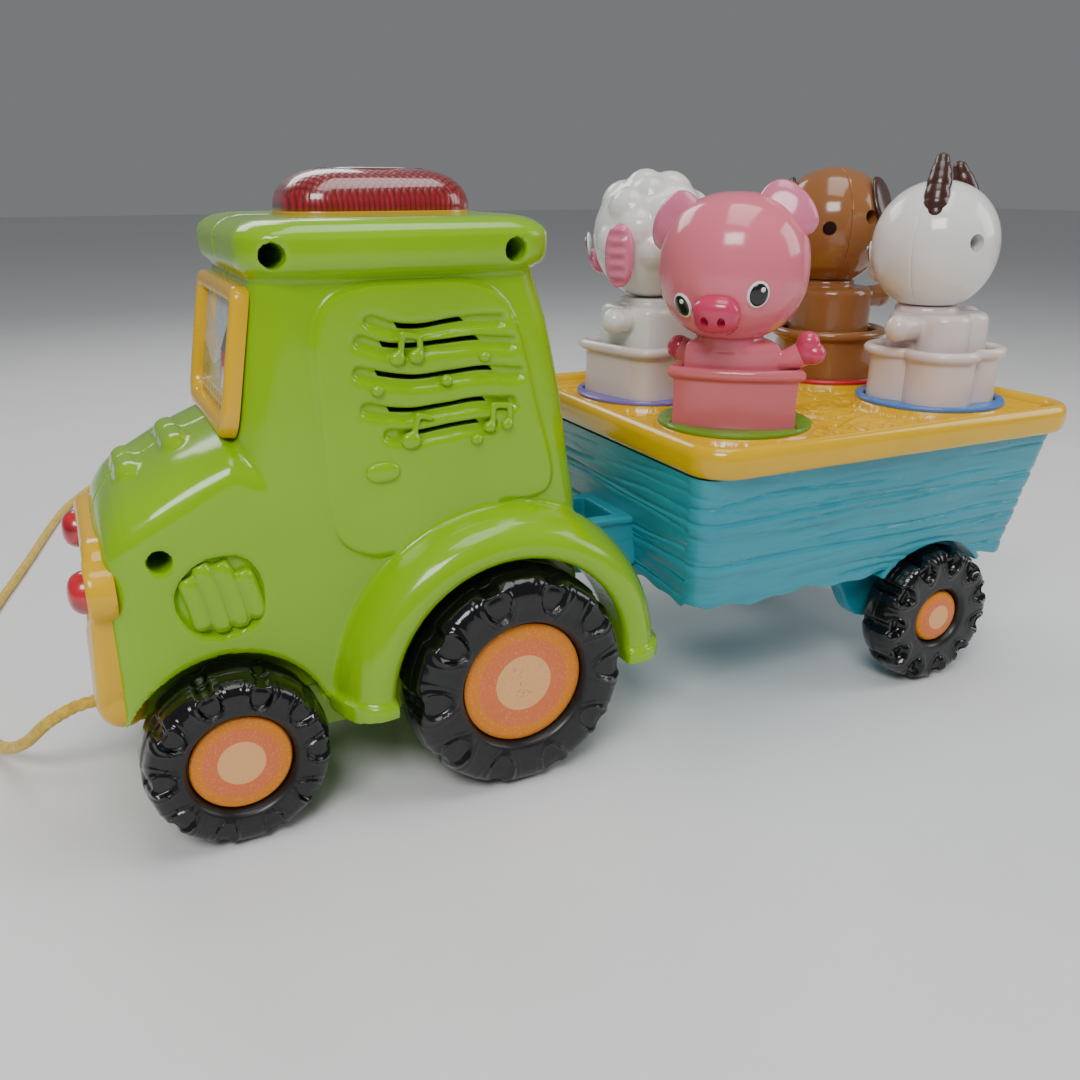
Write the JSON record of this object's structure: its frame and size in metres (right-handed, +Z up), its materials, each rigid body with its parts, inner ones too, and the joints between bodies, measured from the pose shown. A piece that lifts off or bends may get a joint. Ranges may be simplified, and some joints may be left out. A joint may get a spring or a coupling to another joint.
{
  "type": "toy tractor with trailer",
  "caption": "Pull-along toy tractor with a light-up beacon lens, hitched to a trailer whose deck has shaped sockets holding lift-out animal figures in cups.",
  "frame": {"origin": "on the floor under the middle of the toy, measured without its pull cord", "axes": "+X the way the tractor is pulled, +Y its left side, +Z up"},
  "size_m": [0.3884, 0.4468, 0.1942],
  "materials": {
    "lime_plastic": "gloss",
    "yellow_plastic": "gloss",
    "teal_plastic": "satin",
    "black_plastic": "gloss",
    "red_clear_plastic": "clear gloss",
    "label_card": "printed, with a fine sparkle",
    "screen_print": "printed",
    "white_plastic": "gloss",
    "cream_plastic": "gloss",
    "pink_plastic": "gloss",
    "brown_plastic": "gloss",
    "green_ring": "satin",
    "blue_ring": "satin",
    "red_ring": "satin",
    "purple_ring": "satin",
    "steel": "plated",
    "board": "solder mask",
    "speaker_black": "matte",
    "cell_jacket": "printed",
    "cord_yarn": "braided"
  },
  "bodies": {
    "tractor": {"body_left": "lime_plastic", "body_right": "lime_plastic", "base_plate": "lime_plastic", "grille_bumper": "yellow_plastic", "headlamp_lens_left": "red_clear_plastic", "headlamp_lens_right": "red_clear_plastic", "windscreen_frame": "yellow_plastic", "windscreen_card": "screen_print", "circuit_board": "board", "beacon_led": "cream_plastic", "beacon_spring": "steel", "speaker": "speaker_black", "battery_1": "cell_jacket", "battery_2": "cell_jacket", "battery_3": "cell_jacket", "battery_door": "lime_plastic", "battery_door_screw": "steel", "body_screw_roof_front": "steel", "body_screw_roof_rear": "steel", "body_screw_hood": "steel", "hitch_pin": "steel", "pull_cord": "cord_yarn", "cord_bead": "yellow_plastic"},
    "beacon": {"beacon_lens": "red_clear_plastic", "beacon_plunger": "white_plastic"},
    "power_slider": {"power_switch": "black_plastic"},
    "front_wheelset": {"front_axle": "steel", "front_wheel_left": "black_plastic", "front_wheel_right": "black_plastic", "front_hub_disc_left": "label_card", "front_hub_disc_right": "label_card"},
    "rear_wheelset": {"rear_axle": "steel", "rear_wheel_left": "black_plastic", "rear_wheel_right": "black_plastic", "rear_hub_disc_left": "label_card", "rear_hub_disc_right": "label_card"},
    "trailer_wheelset": {"trailer_axle": "steel", "trailer_wheel_left": "black_plastic", "trailer_wheel_right": "black_plastic", "trailer_hub_disc_left": "label_card", "trailer_hub_disc_right": "label_card"},
    "trailer": {"trailer_tub": "teal_plastic", "trailer_deck": "yellow_plastic", "socket_ring_triangle": "green_ring", "socket_ring_clover": "blue_ring", "socket_ring_circle": "red_ring", "socket_ring_square": "purple_ring"},
    "cup_of_pig": {"cup_pig": "pink_plastic"},
    "figure_pig": {"body_pig": "pink_plastic", "head_pig": "pink_plastic"},
    "cup_of_goat": {"cup_goat": "cream_plastic"},
    "figure_goat": {"body_goat": "cream_plastic", "head_goat": "cream_plastic"},
    "cup_of_dog": {"cup_dog": "brown_plastic"},
    "figure_dog": {"body_dog": "brown_plastic", "head_dog": "brown_plastic"},
    "cup_of_sheep": {"cup_sheep": "white_plastic"},
    "figure_sheep": {"body_sheep": "white_plastic", "head_sheep": "white_plastic"}
  },
  "joints": [
    {"name": "beacon_press", "type": "slide", "parent": "tractor", "child": "beacon", "axis": [0, 0, -1], "range_m": [0, 0.0018], "stiffness_N_per_m": 300, "springref_m": -0.002, "deforming": ["beacon_spring"]},
    {"name": "power_slide", "type": "slide", "parent": "tractor", "child": "power_slider", "axis": [0, 1, 0], "range_m": [-0.004, 0.004]},
    {"name": "front_wheels_turn", "type": "hinge", "parent": "tractor", "child": "front_wheelset", "pos_m": [0.1344, 0, 0.02675], "axis": [0, 1, 0], "continuous": true},
    {"name": "rear_wheels_turn", "type": "hinge", "parent": "tractor", "child": "rear_wheelset", "pos_m": [0.0487, 0, 0.036], "axis": [0, 1, 0], "continuous": true},
    {"name": "trailer_swing", "type": "hinge", "parent": "tractor", "child": "trailer", "pos_m": [0.0305, 0, 0.06], "axis": [0, 0, 1], "range_deg": [-10, 10]},
    {"name": "trailer_wheels_turn", "type": "hinge", "parent": "trailer", "child": "trailer_wheelset", "pos_m": [-0.1229, 0, 0.0269], "axis": [0, 1, 0], "continuous": true},
    {"name": "cup_pig_lift", "type": "slide", "parent": "trailer", "child": "cup_of_pig", "axis": [0, 0, 1], "range_m": [0, 0.036]},
    {"name": "figure_pig_lift", "type": "slide", "parent": "cup_of_pig", "child": "figure_pig", "axis": [0, 0, 1], "range_m": [0, 0.034]},
    {"name": "cup_goat_lift", "type": "slide", "parent": "trailer", "child": "cup_of_goat", "axis": [0, 0, 1], "range_m": [0, 0.036]},
    {"name": "figure_goat_lift", "type": "slide", "parent": "cup_of_goat", "child": "figure_goat", "axis": [0, 0, 1], "range_m": [0, 0.034]},
    {"name": "cup_dog_lift", "type": "slide", "parent": "trailer", "child": "cup_of_dog", "axis": [0, 0, 1], "range_m": [0, 0.036]},
    {"name": "figure_dog_lift", "type": "slide", "parent": "cup_of_dog", "child": "figure_dog", "axis": [0, 0, 1], "range_m": [0, 0.034]},
    {"name": "cup_sheep_lift", "type": "slide", "parent": "trailer", "child": "cup_of_sheep", "axis": [0, 0, 1], "range_m": [0, 0.036]},
    {"name": "figure_sheep_lift", "type": "slide", "parent": "cup_of_sheep", "child": "figure_sheep", "axis": [0, 0, 1], "range_m": [0, 0.034]}
  ]
}
